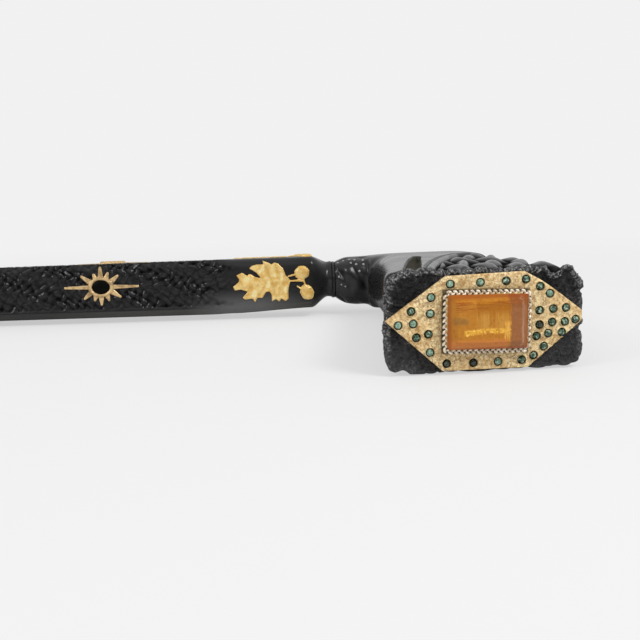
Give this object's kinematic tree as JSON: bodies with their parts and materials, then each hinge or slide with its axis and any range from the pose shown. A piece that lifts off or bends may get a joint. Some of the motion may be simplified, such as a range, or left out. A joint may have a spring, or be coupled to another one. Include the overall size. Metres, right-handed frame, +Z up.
{
  "type": "walking stick",
  "caption": "Carved black wooden walking stick with an L-shaped grip, a jewelled gold end plate, gold ornaments on a square chamfered shaft and a brass ferrule.",
  "frame": {"origin": "middle of the stick's footprint, on the table that it lies on", "axes": "+X along the shaft from the foot toward the handle, +Z up from the table; the grip reaches toward -Y"},
  "size_m": [0.9108, 0.133, 0.0286],
  "materials": {
    "carved_wood": "black lacquer, glossy",
    "gold": "gold plated, hammered or cast",
    "silver_gilt": "pale gold, polished",
    "amber_stone": "step cut, polished",
    "green_stone": "cut, polished",
    "black_stone": "polished dome",
    "steel": "plain",
    "brass": "satin"
  },
  "bodies": {
    "root": {"shaft": "carved_wood", "handle": "carved_wood", "joint_collar": "carved_wood", "joint_stud": "steel", "end_plaque": "gold", "stone_collet": "gold", "citrine": "amber_stone", "rope_border": "silver_gilt", "green_stone_01": "green_stone", "green_stone_02": "green_stone", "green_stone_03": "green_stone", "green_stone_04": "green_stone", "green_stone_05": "green_stone", "green_stone_06": "green_stone", "green_stone_07": "green_stone", "green_stone_08": "green_stone", "green_stone_09": "green_stone", "green_stone_10": "green_stone", "green_stone_11": "green_stone", "green_stone_12": "green_stone", "green_stone_13": "green_stone", "green_stone_14": "green_stone", "green_stone_15": "green_stone", "green_stone_16": "green_stone", "green_stone_17": "green_stone", "green_stone_18": "green_stone", "green_stone_19": "green_stone", "green_stone_20": "green_stone", "green_stone_21": "green_stone", "green_stone_22": "green_stone", "green_stone_23": "green_stone", "green_stone_24": "green_stone", "green_stone_25": "green_stone", "green_stone_26": "green_stone", "green_stone_27": "green_stone", "green_stone_28": "green_stone", "green_stone_29": "green_stone", "green_stone_30": "green_stone", "sunburst_front": "gold", "sun_stone_front": "black_stone", "oak_sprig_front": "gold", "sunburst_top": "gold", "sun_stone_top": "black_stone", "oak_sprig_top": "gold", "sunburst_back": "gold", "sun_stone_back": "black_stone", "oak_sprig_back": "gold", "ferrule": "brass", "ferrule_tip": "steel", "ferrule_pin": "steel"}
  },
  "joints": []
}
